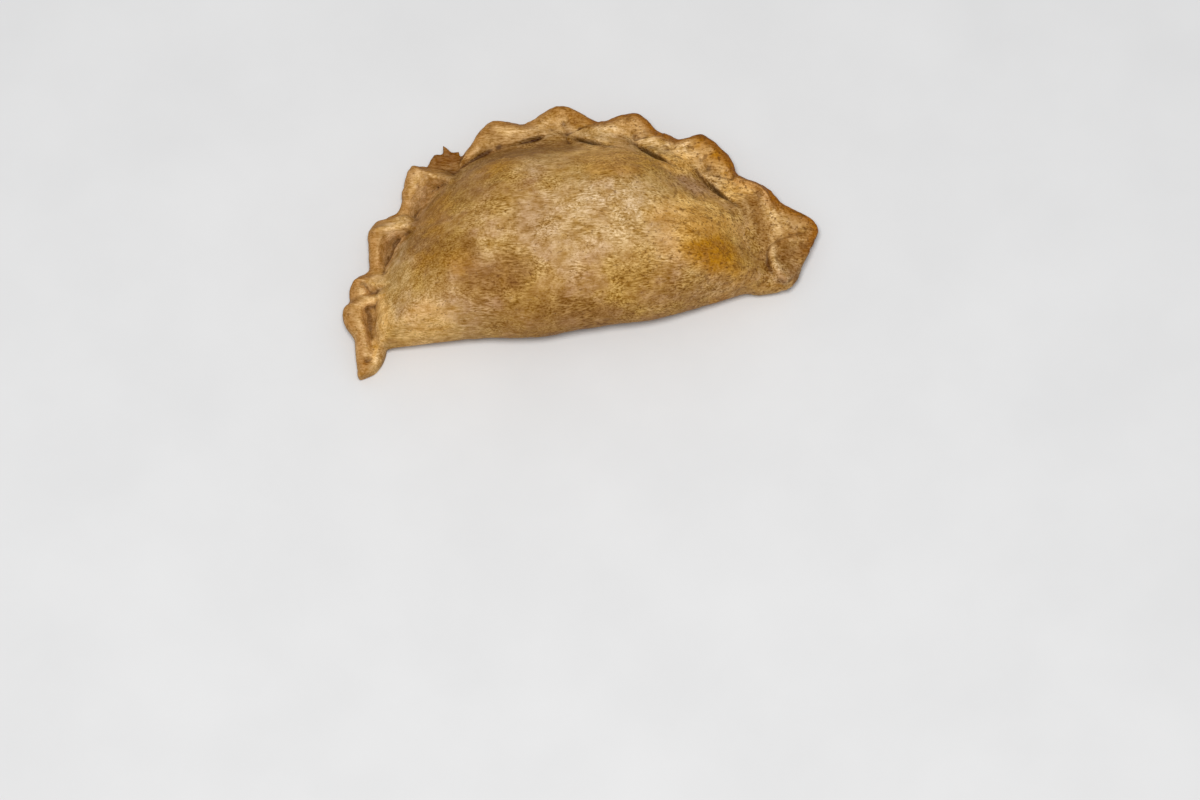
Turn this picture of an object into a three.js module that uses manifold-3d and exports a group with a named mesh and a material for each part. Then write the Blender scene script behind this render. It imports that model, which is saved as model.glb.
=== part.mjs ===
// A baked empanada: a round of wholemeal dough folded over its filling into a half-moon, and closed along
// the round side by a hand-made rope crimp whose pleats overlap like shingles. It is one solid.
// Millimetres, +Z up. The straight fold runs along X on the -Y side, and the crimp curves round the +Y side.
// The origin is the middle of the base, on the surface that the empanada rests on.
import * as THREE from "three";
import { mergeVertices } from "three/addons/utils/BufferGeometryUtils.js";
import Module from "manifold-3d";

const { lerp, clamp, smoothstep, degToRad, radToDeg } = THREE.MathUtils;

// Driving dimensions, in a plan whose origin is near the middle of the body
const RIM_CENTRE = new THREE.Vector2(-4, -24); // centre of the round side
const BODY_HEIGHT = 28; // top of the filled body above the base
const FOOT_RADIUS = 50.6; // where the body comes down to the crimp
const LEFT_FOOT = 53.6; // and where it comes down at the left-hand end
const FOLD_Y = -28.5; // foremost line of the fold
const FOLD_X = 4; // where the fold comes foremost
const FOLD_BOW = 4.4; // how far the fold draws back at FOLD_REACH to either side
const FOLD_REACH = 60;

// The filled body
const HALF_WIDTH = 16.7; // from the fold's face to the crown, as the two slopes share it
const CROWN_POWER = 2.5; // how sharply the slope from the fold and the slope from the crimp meet
const BACK_EASE = 20; // how gently the body rises from the middle of the crimp
const LEFT_EASE = 7; // and from its left-hand end
const RIGHT_EASE = 15; // and from its right-hand end
const LEAST_GROWTH = 0.12; // keeps the distance from the foot of that rise finite
const SEAM_HEIGHT = 4.5; // middle of the dough at the crimp
const FOLD_HEIGHT = 10; // middle of the fold's round face
const SEAM_RUN = 38; // how far in from the fold that height levels out
const SINK = 3; // how far the round underside would reach below the base before it was flattened
const LUMP = 0.45; // height of the unevenness that the filling gives the body
const LUMP_LENGTH = [9, 7]; // how far apart the lumps are along X and Y, for each radian of their waves
const LUMP_INSET = 14; // how far in from the crimp they are in full

// The sheet of dough under the crimp
const SHEET_TOP = 4.6;
const SHEET_RADIUS = 53.6;
const SHEET_INSET = 9; // it starts this far behind the fold's face
const SHEET_BLEND = 2;

// The crimp. Places along it are degrees round RIM_CENTRE, clockwise from its left end.
const RIM_INNER = 51; // radius of a pleat's tip
const RIM_OUTER = 57; // radius where its lip crosses the outline
const RIM_MERGED = 46; // inner edge where a pleat runs into the body
const RIM_LOW = 5.2; // top of the dough between two pleats
const MERGE_BLEND = 6; // how softly a pleat runs into the body
const OPEN_BLEND = 0.8; // and how softly its open edge meets it
const EDGE_EASE = 3; // how gradually an open edge starts and ends, in degrees
const LIP_WIDTH = 0.8; // half the width of the step up onto a pleat, in degrees
const LIP_SHARE = 0.6; // share of a pleat's lift that its lip already has
const INNER_SHARE = 0.75; // share of its lift that a pleat keeps at its inner edge
const LEAST_RUN = 2; // least distance from a lip to the top of its pleat, in degrees
const FALL = 9; // how far a pleat's back takes to fall again, in degrees
const ROLL = 0.9; // extra height of the rolled outer edge
const ROLL_INSET = 3.2; // from the outline to the roll's top
const ROLL_WIDTH = 2.4;
const EDGE_ROUND = 2.4; // rounding of the crimp's edges
const UNDERCUT_START = 46; // the underside starts to rise from SINK below the base at this radius
const UNDERCUT_END = 60; // and is in full here
const UNDERCUT = 5.5;

// Each pleat starts at its pointed tip beside the body, crosses the outline at its notch, stands out most at its
// crest, and runs into the body at merge. Notch and crest are [place, radius], inner is the radius of its open edge
// beside the body, and lift is its height.
const PLEATS = [
  { tip: -9, notch: [3, 59.3], crest: [10, 62.2], merge: 12.3, inner: 53.6, lift: 2.8 },
  { tip: 13, notch: [14.5, 60], crest: [17.5, 61.1], merge: 18, inner: 53.2, lift: 2.6 },
  { tip: 22, notch: [24, 56.8], crest: [33, 61], merge: 36.7, inner: 53, lift: 3.4 },
  { tip: 41, notch: [42.5, 56.2], crest: [53, 61.5], merge: 55, inner: 53, lift: 3.6 },
  { tip: 57, notch: [58, 59], crest: [62, 60], merge: 58, inner: 52, lift: 1 },
  { tip: 60, notch: [66.5, 56.5], crest: [77, 60.1], merge: 88, inner: 52, lift: 3.4 },
  { tip: 83, notch: [85, 57.5], crest: [94.5, 60.7], merge: 88, inner: 52, lift: 2.8 },
  { tip: 95.5, notch: [105.5, 56.2], crest: [114, 60.2], merge: 106, inner: 51.8, lift: 3.6 },
  { tip: 116, notch: [122.5, 56.5], crest: [134, 61.6], merge: 128, inner: 51.8, lift: 3.8 },
  { tip: 139, notch: [146, 58.9], crest: [155, 62.2], merge: 151.5, inner: 51.8, lift: 3.8 },
];
const RIM_START = -2; // place where the crimp leaves the left-hand tail
const RIM_END = [172, 60]; // place and radius where the crimp runs into the right-hand corner

// Right-hand corner: a block of folded dough, with its end tucked up over it as a round flap
const CORNER = [
  [47.5, 4.5],
  [61, -6],
  [62, -10],
  [53, -23.8],
  [44, -24],
  [41, -6],
];
const CORNER_TOP = 6.8;
const CORNER_UNDER = -0.6; // its rounded lower edge just touches the base
const CORNER_BLEND = 5; // how softly it meets the body and the crimp
const FLAP = [
  [53, -23.8],
  [50, -24],
  [48, -19.5],
  [48, -15.5],
  [52, -12.7],
  [62, -9.5],
];
const FLAP_LIP = 48; // x of its lip
const FLAP_TOP = 9.6; // height of its lip
const FLAP_FALL = 0.25; // how fast it falls from there to the end
const FLAP_BLEND = 0.6;

// Left-hand corner: the crimp's loose end, drawn out towards the front
const TAIL = [
  [-53, -15],
  [-53.5, -24.5],
  [-55.8, -27.5],
  [-59.5, -30.3],
  [-64.2, -31],
  [-65.3, -15],
  [-60.5, -8],
];
const TAIL_TOP = 5.6;
const TAIL_BLEND = 1.5;
const PLAN_ROUND = 2.6; // rounding of both corners in plan

// Facets
const CELL = 1.8;
const GRID_LOW = [-70, -36, -6];
const GRID_HIGH = [67, 42, BODY_HEIGHT + 4];
const CUT_DEPTH = 3; // how far below the base the faceted shape reaches until it is cut
const HAIR = 1e-3; // how far inside a filled point is taken to be
const TINY = 1e-6; // keeps a slope from being divided by nothing

// Joins of two signed distances, which are negative inside. The blend is the width of the fillet between them.
function smoothUnion(a, b, blend) {
  const overlap = Math.max(blend - Math.abs(a - b), 0) / blend;
  return Math.min(a, b) - (overlap * overlap * blend) / 4;
}

function smoothCut(a, b, blend) {
  return -smoothUnion(-a, -b, blend);
}

// Distance outside a convex plan outline whose corners run clockwise
function outsidePolygon(x, y, corners) {
  let outside = -Infinity;
  corners.forEach(([ax, ay], i) => {
    const [bx, by] = corners[(i + 1) % corners.length];
    const length = Math.hypot(bx - ax, by - ay);
    const beyond = ((ax - x) * (by - ay) + (y - ay) * (bx - ax)) / length;
    outside = i ? smoothCut(outside, beyond, PLAN_ROUND) : beyond;
  });
  return outside;
}

const foldLine = (x) => FOLD_Y + FOLD_BOW * ((x - FOLD_X) / FOLD_REACH) ** 2;

// How far in from the body's outline a point is, shared between the fold and the crimp, and how fast that grows
function inwards(front, back, ease) {
  const far = Math.abs(back);
  const eased = (back * far) / (far + ease);
  const easedGrowth = Math.max((far * (far + 2 * ease)) / (far + ease) ** 2, LEAST_GROWTH);
  if (front <= 0 && front < eased) return { inward: front, growth: 1 };
  if (eased <= 0) return { inward: eased, growth: easedGrowth };
  const inward = (front ** -CROWN_POWER + eased ** -CROWN_POWER) ** (-1 / CROWN_POWER);
  const fromFront = (inward / front) ** (CROWN_POWER + 1);
  const fromBack = (inward / eased) ** (CROWN_POWER + 1) * easedGrowth;
  return { inward, growth: Math.hypot(fromFront, fromBack) };
}

// Two crossed waves, which never line up over the length of the body
function lumps(x, y) {
  const u = x / LUMP_LENGTH[0];
  const v = y / LUMP_LENGTH[1];
  return Math.sin(u + 0.7) * Math.cos(v - 0.4) + 0.6 * Math.sin(1.7 * u - 1.15 * v);
}

// The body swells from the fold's round face and from the crimp to a broad crown. Below its middle it is round under
// the fold only, and stands straight down behind the crimp.
function body(x, y, z, radius) {
  const sideways = clamp((x - RIM_CENTRE.x) / FOOT_RADIUS, -1, 1);
  const ease = lerp(BACK_EASE, sideways < 0 ? LEFT_EASE : RIGHT_EASE, sideways ** 2);
  const foot = sideways < 0 ? lerp(FOOT_RADIUS, LEFT_FOOT, sideways ** 6) : FOOT_RADIUS;
  const front = y - foldLine(x);
  const back = foot - radius;
  const foldMiddle = lerp(FOLD_HEIGHT, SEAM_HEIGHT, sideways ** 2);
  const middle = lerp(foldMiddle, SEAM_HEIGHT, smoothstep(front, 0, SEAM_RUN));
  const upper = z > middle;
  const { inward, growth } = upper ? inwards(front, back, ease) : { inward: front, growth: 1 };

  // Distance from an oval whose half-axes are the half width and the rise above its middle, or the sink below it
  const rise = upper ? BODY_HEIGHT - middle : middle + SINK;
  const across = Math.max(HALF_WIDTH - inward, 0);
  const reach = Math.hypot(across / HALF_WIDTH, (z - middle) / rise);
  const acrossSlope = (across / HALF_WIDTH ** 2) * growth;
  const upSlope = (z - middle) / rise ** 2;
  const oval = (reach * (reach - 1)) / Math.max(Math.hypot(acrossSlope, upSlope), TINY);
  const smooth = upper ? oval : Math.max(oval, -back);
  return smooth - LUMP * lumps(x, y) * smoothstep(back, 0, LUMP_INSET);
}

// The sheet lies flat under the body and reaches out under the crimp.
function sheet(x, y, z, radius) {
  const plan = Math.max(radius - SHEET_RADIUS, foldLine(x) + SHEET_INSET - y);
  return smoothCut(plan, z - SHEET_TOP, SHEET_BLEND);
}

// Height of the crimp's top at a place and a radius. Each pleat steps up at its lip, rises to its ridge, falls behind
// it, and rolls up towards its outer edge.
function pleatTop(place, radius, edge) {
  const out = clamp((radius - RIM_INNER) / (RIM_OUTER - RIM_INNER), 0, 1);
  let top = 0;
  for (const { tip, notch, crest, merge, lift } of PLEATS) {
    const lip = lerp(tip, notch[0], out);
    const ridge = Math.max(lerp(merge, crest[0], out), lip + LEAST_RUN);
    const step = smoothstep(place, lip - LIP_WIDTH, lip + LIP_WIDTH);
    const rise = lerp(LIP_SHARE, 1, smoothstep(place, lip, ridge));
    const fall = 1 - smoothstep(place, ridge, ridge + FALL);
    top = Math.max(top, lift * step * rise * fall);
  }
  const roll = ROLL * Math.exp(-(((edge - ROLL_INSET - radius) / ROLL_WIDTH) ** 2));
  return RIM_LOW + top * lerp(INNER_SHARE, 1, out) + roll;
}

// Outline of the crimp: a smooth wave through each notch and crest
const WAVE = PLEATS.flatMap(({ notch, crest }) => [notch, crest]).concat([RIM_END]);

function rimOutline(place) {
  const next = WAVE.findIndex(([at]) => at > place);
  if (next === 0) return WAVE[0][1];
  if (next < 0) return RIM_END[1];
  const [from, fromRadius] = WAVE[next - 1];
  const [to, toRadius] = WAVE[next];
  return lerp(fromRadius, toRadius, smoothstep(place, from, to));
}

// How free the crimp stands of the body at a place, from 1 along a pleat's open edge to 0 where it runs in, and the
// radius of its inner edge there
function openEdge(place) {
  let free = 0;
  let inner = RIM_MERGED;
  for (const pleat of PLEATS) {
    const opened = smoothstep(place, pleat.tip - EDGE_EASE, pleat.tip + EDGE_EASE / 3);
    const closed = smoothstep(place, pleat.merge - EDGE_EASE, pleat.merge + EDGE_EASE);
    const open = opened * (1 - closed);
    free = Math.max(free, open);
    inner = Math.max(inner, lerp(RIM_MERGED, pleat.inner, open));
  }
  return { free, inner };
}

function crimp(place, radius, z, inner) {
  const edge = rimOutline(place);
  const beyondEnds = Math.max(RIM_START - place, place - RIM_END[0]) * degToRad(1) * radius;
  const ring = Math.max(inner - radius, radius - edge, beyondEnds);
  const under = UNDERCUT * smoothstep(radius, UNDERCUT_START, UNDERCUT_END) - SINK;
  const topped = smoothCut(ring, z - pleatTop(place, radius, edge), EDGE_ROUND);
  return smoothCut(topped, under - z, EDGE_ROUND);
}

function corner(x, y, z) {
  const block = smoothCut(outsidePolygon(x, y, CORNER), z - CORNER_TOP, EDGE_ROUND);
  const flapTop = FLAP_TOP - FLAP_FALL * (x - FLAP_LIP);
  const flap = smoothCut(outsidePolygon(x, y, FLAP), z - flapTop, EDGE_ROUND);
  return smoothCut(smoothUnion(block, flap, FLAP_BLEND), CORNER_UNDER - z, EDGE_ROUND);
}

function tail(x, y, z) {
  const lobe = smoothCut(outsidePolygon(x, y, TAIL), z - TAIL_TOP, EDGE_ROUND);
  return smoothCut(lobe, CORNER_UNDER - z, EDGE_ROUND);
}

// The whole empanada, negative inside. Below the base its outline runs straight down, to be cut away.
function empanada(x, y, height) {
  const z = Math.max(height, 0);
  const east = x - RIM_CENTRE.x;
  const north = y - RIM_CENTRE.y;
  const radius = Math.hypot(east, north);
  const place = radToDeg(Math.atan2(north, -east));
  const { free, inner } = openEdge(place);
  const filled = smoothUnion(body(x, y, z, radius), sheet(x, y, z, radius), SHEET_BLEND);
  const crimped = smoothUnion(filled, crimp(place, radius, z, inner), lerp(MERGE_BLEND, OPEN_BLEND, free));
  const cornered = smoothUnion(crimped, corner(x, y, z), CORNER_BLEND);
  const tailed = smoothUnion(cornered, tail(x, y, z), TAIL_BLEND);
  return Math.max(tailed, -CUT_DEPTH - height);
}

// Fills each gap that is narrower than a cell: where the corners of a cell's face are in and out by turns, the
// surface would touch itself there, so its shallower outer corner is taken inside.
function closeGaps(values, stride) {
  let filled = true;
  while (filled) {
    filled = false;
    for (let here = 0; here + stride[1] + stride[2] < values.length; here++) {
      for (let axis = 0; axis < 3; axis++) {
        const u = stride[axis];
        const v = stride[(axis + 1) % 3];
        const face = [here, here + u, here + u + v, here + v];
        const [a, b, c, d] = face.map((at) => values[at] < 0);
        if (a !== c || b !== d || a === b) continue;
        const [one, other] = a ? [face[1], face[3]] : [face[0], face[2]];
        values[values[one] < values[other] ? one : other] = -HAIR;
        filled = true;
      }
    }
  }
}

// Surface nets: a vertex in each grid cell that the surface crosses, and a quad across each grid edge that it cuts
function facet(field) {
  const axes = [0, 1, 2];
  const count = axes.map((axis) => Math.ceil((GRID_HIGH[axis] - GRID_LOW[axis]) / CELL) + 1);
  const stride = [1, count[0], count[0] * count[1]];
  const total = stride[2] * count[2];
  const gridPoint = (at) => [at % count[0], Math.floor(at / stride[1]) % count[1], Math.floor(at / stride[2])];
  const inGrid = (index, margin) => axes.every((n) => index[n] >= margin && index[n] + 1 < count[n]);
  const values = Float32Array.from({ length: total }, (_, at) =>
    field(...gridPoint(at).map((index, axis) => GRID_LOW[axis] + index * CELL)),
  );
  closeGaps(values, stride);

  // Each vertex is the mean of the points where the surface cuts its cell's edges.
  const cube = [0, 1, 2, 3, 4, 5, 6, 7].map((n) => axes.map((axis) => (n >> axis) & 1));
  const offset = cube.map((steps) => steps[0] + steps[1] * stride[1] + steps[2] * stride[2]);
  const edges = cube.flatMap((steps, n) =>
    axes.filter((axis) => !steps[axis]).map((axis) => ({ from: n, to: n | (1 << axis), axis })),
  );
  const vertex = new Int32Array(total).fill(-1);
  const points = [];
  for (let here = 0; here < total; here++) {
    const index = gridPoint(here);
    if (!inGrid(index, 0)) continue;
    const sum = [0, 0, 0];
    let cuts = 0;
    for (const { from, to, axis } of edges) {
      const a = values[here + offset[from]];
      const b = values[here + offset[to]];
      if (a < 0 === b < 0) continue;
      axes.forEach((n) => (sum[n] += cube[from][n]));
      sum[axis] += a / (a - b);
      cuts++;
    }
    if (!cuts) continue;
    vertex[here] = points.length / 3;
    points.push(...axes.map((n) => GRID_LOW[n] + (index[n] + sum[n] / cuts) * CELL));
  }

  // Each quad is split along its shorter diagonal.
  const apart = (a, b) => axes.reduce((sum, n) => sum + (points[3 * a + n] - points[3 * b + n]) ** 2, 0);
  const triangles = [];
  for (let here = 0; here < total; here++) {
    if (!inGrid(gridPoint(here), 1)) continue;
    const inside = values[here] < 0;
    for (const axis of axes) {
      if (inside === values[here + stride[axis]] < 0) continue;
      const u = stride[(axis + 1) % 3];
      const v = stride[(axis + 2) % 3];
      const ring = [here - u - v, here - v, here, here - u].map((cell) => vertex[cell]);
      const [a, b, c, d] = inside ? ring : ring.reverse();
      if (apart(a, c) < apart(b, d)) triangles.push(a, b, c, a, c, d);
      else triangles.push(a, b, d, b, c, d);
    }
  }
  const geometry = new THREE.BufferGeometry();
  geometry.setAttribute("position", new THREE.Float32BufferAttribute(points, 3));
  return geometry.setIndex(triangles);
}

const wasm = await Module();
wasm.setup();

function solid(geometry) {
  const bare = geometry.clone();
  bare.deleteAttribute("normal");
  bare.deleteAttribute("uv");
  const merged = mergeVertices(bare, HAIR / 10);
  const vertProperties = merged.attributes.position.array;
  const triVerts = new Uint32Array(merged.index.array);
  return new wasm.Manifold(new wasm.Mesh({ numProp: 3, vertProperties, triVerts }));
}

// All that reaches below the base is cut away, which leaves the flat face that the empanada rests on.
function flattenBase(geometry) {
  const width = 2 * (GRID_HIGH[0] - GRID_LOW[0]);
  const depth = -2 * GRID_LOW[2];
  const below = new THREE.BoxGeometry(width, width, depth).translate(0, 0, -depth / 2);
  const cut = solid(geometry).subtract(solid(below)).getMesh();
  const flattened = new THREE.BufferGeometry();
  flattened.setAttribute("position", new THREE.BufferAttribute(cut.vertProperties.slice(), 3));
  return flattened.setIndex(new THREE.BufferAttribute(cut.triVerts.slice(), 1));
}

const shape = flattenBase(facet(empanada));
shape.computeBoundingBox();
const centre = shape.boundingBox.getCenter(new THREE.Vector3());
shape.translate(-centre.x, -centre.y, -shape.boundingBox.min.z);
shape.computeVertexNormals();

const crust = new THREE.MeshStandardMaterial({ color: 0xab8450, roughness: 0.7, metalness: 0 });
const pastry = new THREE.Mesh(shape, crust);
pastry.name = "empanada";

const part = new THREE.Group();
part.add(pastry);

export default part;
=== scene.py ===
"""The finished look of a baked empanada: a half-moon of flecked dough, closed by a hand-made rope crimp."""
import math

import bmesh
import bpy
import numpy as np
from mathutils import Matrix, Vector


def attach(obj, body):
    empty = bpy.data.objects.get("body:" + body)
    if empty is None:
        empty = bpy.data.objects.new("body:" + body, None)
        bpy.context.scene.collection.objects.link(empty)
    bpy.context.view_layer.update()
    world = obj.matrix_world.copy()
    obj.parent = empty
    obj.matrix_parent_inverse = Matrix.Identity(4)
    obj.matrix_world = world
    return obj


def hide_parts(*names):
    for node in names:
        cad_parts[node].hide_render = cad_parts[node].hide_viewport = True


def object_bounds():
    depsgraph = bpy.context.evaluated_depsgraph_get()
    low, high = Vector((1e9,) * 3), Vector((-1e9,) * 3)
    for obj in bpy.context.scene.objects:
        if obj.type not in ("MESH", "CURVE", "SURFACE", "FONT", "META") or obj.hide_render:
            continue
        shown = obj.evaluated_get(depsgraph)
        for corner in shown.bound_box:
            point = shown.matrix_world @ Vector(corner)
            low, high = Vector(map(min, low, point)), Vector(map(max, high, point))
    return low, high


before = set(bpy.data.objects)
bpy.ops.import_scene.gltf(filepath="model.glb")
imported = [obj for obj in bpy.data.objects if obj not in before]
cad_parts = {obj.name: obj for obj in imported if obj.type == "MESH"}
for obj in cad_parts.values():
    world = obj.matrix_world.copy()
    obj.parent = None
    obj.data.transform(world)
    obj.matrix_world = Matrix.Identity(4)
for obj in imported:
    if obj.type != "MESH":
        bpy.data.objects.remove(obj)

CAD_LOW, CAD_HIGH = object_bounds()
MM = 0.001
SEED = 11

# The camera looks down on the crust from the fold's side, through a long lens
ELEVATION = math.radians(66)
AZIMUTH = math.radians(-9.2)
VIEW_WIDTH = 315.8 * MM  # what the frame's width spans at the object
VIEW_ASIDE = 5.26 * MM  # the frame's middle lies this far to the right of the plan's origin
VIEW_BELOW = 42.1 * MM  # and this far below it, as seen
DISTANCE = 1.6
NEAREST = 0.05  # nothing nearer than this is drawn
SENSOR = 36

# The floor and the studio light
FLOOR_HALF = 3  # half the side of the floor, in metres
FLOOR_ROUGHNESS = 0.7
SKY_COLOUR = (1, 1, 1, 1)
SKY_STRENGTH = 0.4
LAMP_PLACE = (-0.1, -0.35, 1.2)
LAMP_WIDTH = 0.4
LAMP_POWER = 11
LAMP_COLOUR = (1, 0.985, 0.96)

# Driving dimensions of the dough in millimetres, in a plan whose origin is near the middle of the body
RIM_CENTRE = (-4, -24)  # centre of the round side
BODY_HEIGHT = 28
FOOT_RADIUS = 50.6  # where the body comes down to the crimp
LEFT_FOOT = 53.6  # and where it comes down at the left-hand end
LEFT_FOOT_POWER = 6  # how late the one turns into the other
FOOT_BULGE = 2.6  # how far its foot swells under the upper left pleats
FOOT_BULGE_PLACE = 66
FOOT_BULGE_SPREAD = 17
RIGHT_BULGE = 2.4  # and how far it reaches out to the right-hand slits
RIGHT_BULGE_RUN = (98, 116)
END_BULGE = 2.4  # and how much further to the folded corner
END_BULGE_RUN = (148, 162)
END_BULGE_FADE = (158, 168)
FOLD_Y = -29  # foremost line of the fold
FOLD_X = 4  # where the fold comes foremost
FOLD_BOW = 4.9  # how far the fold draws back at FOLD_REACH to either side
FOLD_REACH = 60
FOLD_DRAW = 3.5  # how much further it draws back to the right-hand corner
FOLD_DRAW_RUN = (9, 53)
FOLD_TUCK = 1.2  # and how far it is tucked in on the left
FOLD_TUCK_X = -36
FOLD_TUCK_SPREAD = 16

# The filled body
HALF_WIDTH = 16.7  # from the fold's face to the crown, as the two slopes share it
CROWN_POWER = 2.5  # how sharply the slope from the fold and the slope from the crimp meet
BACK_EASE = 20  # how gently the body rises from the middle of the crimp
LEFT_EASE = 7  # and from its left-hand end
RIGHT_EASE = 45  # and from its right-hand end
LEAST_GROWTH = 0.12  # and no more gently than this
SHARE_RUN = (-2, 4)  # over this difference the crimp's side takes over from the fold's
SEAM_HEIGHT = 4.5  # middle of the dough at the crimp
FOLD_HEIGHT = 10  # middle of the fold's round face
SEAM_RUN = 38
SINK = 3  # how far the round underside would reach below the base before it was flattened
LUMP = 0.45  # the filling makes the body lumpy by this much
LUMP_LENGTH = (9, 7)
LUMP_PHASE = (0.7, -0.4)
LUMP_SECOND = 0.6  # share of a second wave that runs askew
LUMP_SECOND_TURNS = (1.7, -1.15)
LUMP_INSET = 14  # and the lumps are in full this far in from the crimp

# The sheet of dough under the crimp
SHEET_TOP = 4.7
LEFT_SHEET_TOP = 2.2  # in the hollows of the left-hand pleats
SHEET_RUN = (55, 70)
SHEET_FILL = 1.5  # how much higher it lies where the first right-hand pleat's groove runs out
SHEET_FILL_PLACE = 80
SHEET_FILL_SPREAD = 7
SHEET_EDGE = 2.5  # it ends this far inside the outline
SHEET_INSET = 9
SHEET_BLEND = 2

# The crimp. Places along it are degrees round RIM_CENTRE, clockwise from its left end.
RIM_INNER = 51.5  # radius of a lip's inner end
RIM_OUTER = 58  # radius where it crosses the outline
SHINGLE_OUTER = 55.2  # radius where a right-hand lip has come as far along as the notch
RIM_MERGED = 46  # inner edge where a pleat runs into the body
RIM_LOW = 5.0  # top of the dough between two pleats
MERGE_BLEND = 6  # how softly a left-hand pleat runs into the body
RIGHT_BLEND = 5  # and how softly a right-hand one does
CORNER_JOIN = 2  # and how softly the last one runs into the corner
CORNER_JOIN_PLACES = (154, 162)  # over these places
CORNER_JOIN_RADII = (52, 57)  # and each pleat joins as softly beyond these radii
OPEN_BLEND = 0.5  # how softly a pleat's open edge meets the body
EDGE_EASE = 4  # how gradually an open edge fades out, in degrees
EDGE_SHARP = 0.9  # and how soon it is in full at its other end
SLIT_FADE = 14  # how gradually a right-hand slit closes
LIP_WIDTH = 0.65  # half the width of the step up onto a pleat, in degrees
LIP_SHARE = 0.7  # share of a pleat's lift that its lip already has
INNER_SHARE = 0.9  # share of its lift that a pleat keeps at its inner edge
CLIMB = 3.0  # how far a right-hand pleat climbs onto the body
CLIMB_START = 55  # from this radius
CLIMB_RUN = 9
RIDGE_BEHIND = 2  # its ridge lies at least this far behind its lip, in degrees
FALL = 8  # how far its back takes to fall again, in degrees
KEPT = 0.45  # and the share of its lift that it keeps
ROLL = 0.8  # extra height of the rolled outer edge
ROLL_INSET = 3.0
ROLL_WIDTH = 2.0
WALL_RUN = 3.4  # a cupped pleat's wall rises over this distance from its hollow
GUTTER = 2.4  # how far a cupped pleat's hollow sinks beside the body
GUTTER_START = 7  # over this distance from its start, in degrees
CURL = 1.6  # how far the last pleat's outer edge curls up
CURL_PLACE = 152.5
CURL_SPREAD = 8
CURL_INSET = 2.0
CURL_WIDTH = 0.8
EDGE_ROUND = 1.9
UNDERCUT = 5.5  # how far the crimp's underside lifts
UNDERCUT_RUN = (46, 60)  # between these radii

# Outline of the crimp: its notches and crests as (place, radius)
OUTLINE = [
    (3, 58.8), (10, 61.7), (14.5, 60), (17.5, 60.8), (24, 56.8), (34, 60.1), (43, 56.9), (53, 60.9),
    (58, 58.4), (60.5, 59), (66.5, 56.2), (77, 60.1), (85, 57.5), (95.3, 60.5), (105.5, 56.3), (114, 59.7),
    (122.5, 57), (127, 57), (132.5, 61.2), (139.5, 60.7), (146, 58.3), (155, 61.2), (172, 60),
]
RIGHT_RUN = (88, 103)  # places over which the pleats change from left-hand to right-hand ones
RIM_START = -2
RIM_END = 172

# Left-hand pleats are cupped: a hollow beside the body, inside a raised wall, ends under the next one's lip.
# Each has the places of its hollow's start and of the lip's inner and outer ends, the hollow's outer radius
# at its start and at the lip, the wall's height, and the lip's height and how far its back takes to fall.
CUPPED = [
    (-8, (13.6, 11.2), (52.2, 53.4), 2.2, 2.8, 5),
    (14, (17.2, 18.6), (53.6, 54.0), 1.4, 2.6, 5),
    (20.5, (37.0, 32.0), (51.6, 52.8), 3.0, 3.8, 9),
    (39.5, (56.2, 52.6), (51.8, 53.6), 3.2, 4.0, 6),
]

# Right-hand pleats lie over each other like shingles. Each has the places of its pointed tip beside the body,
# of its lip at the outline, of its crest and of its end in the body, the radius of its open edge at either
# end, and its lift.
SHINGLED = [
    (60, 66.5, 77, 90, (53.0, 53.2), 3.0),
    (83, 85, 94.5, 84, (52.0, 52.0), 2.6),
    (96, 105, 114, 107, (50.2, 47.4), 3.6),
    (115.8, 122.3, 134, 130, (51.4, 47.8), 3.9),
    (138.6, 146, 155, 154, (51.2, 50.2), 3.9),
]

# Creases where the pleats' inner edges stand off the body, each from its left-hand to its right-hand end,
# with the heights of its floor at both. The pleat's side is steep, and the body's side slopes down into it.
CREASES = [
    ((-18.5, 26.6), (-1.5, 27.2), (6.5, 6.9)),
    ((0.2, 27.8), (11.2, 19.4), (5.0, 8.6)),
    ((17.4, 22.2), (26.9, 11.6), (5.0, 7.6)),
    ((33.2, 10.3), (40.8, -1.2), (4.6, 6.2)),
]
CREASE_DEEPEST = 0.55  # each is deepest at this share of its length
CREASE_CLOSE = 5  # and its floor is this much higher at both ends
CREASE_FULL = 0.75  # and lies at its full depth from this share of the way between
CREASE_SLOPE = 4  # how steeply the body's side slopes
CREASE_LEAN = 0.35  # how far the pleat's side is undercut
CREASE_ROUND = 0.9

# A torn scrap of dough that shows between two pleats, and its upturned splinter, as plan outlines
SCRAP = [(-36, 25.4), (-33.9, 28.6), (-27, 28.4), (-28.5, 21)]
SCRAP_TOP = 5.6
SPLINTER = [(-31.8, 27.6), (-31.4, 30.9), (-28.4, 27.4)]
SPLINTER_TOP = 6.4
SPLINTER_ROUND = 0.5
SCRAP_UNDER = 2.6

# The folded right-hand corner with its tucked flap, and the loose tail at the left-hand end, as plan outlines
CORNER = [(47.5, 2.6), (61.7, -6.8), (62.7, -10.4), (58, -18), (51.4, -25), (44, -23.6), (41, -6)]
CORNER_TOP = 7.8
CORNER_FALL = 0.1
CORNER_DROOP = 2.2  # how much lower its front end lies
CORNER_DROOP_RUN = (14, 25)
CORNER_UNDER = -0.6
CORNER_LIFT = 3.6  # how far its front end lifts off the base
CORNER_LIFT_RUN = (16, 24)
CORNER_RISE = 5  # and how far its right-hand end does
CORNER_RISE_RUN = (45, 54)
CORNER_BLEND = 5.5
CORNER_ROUND = 1.2
FLAP = [
    (50.4, -25.3), (47.9, -22.5), (46.9, -19.5), (47, -16.4),
    (48.9, -13.4), (53.4, -11.6), (62.8, -9.6), (58.4, -18),
]
TRIM = [(63.3, -10.2), (58.4, -18.1), (52.3, -26.4)]  # the corner's right-hand edge runs along these
TRIM_ROUND = 1.2
FLAP_LIP = 48
FLAP_TOP = 9.1
FLAP_FALL = 0.2
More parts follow.
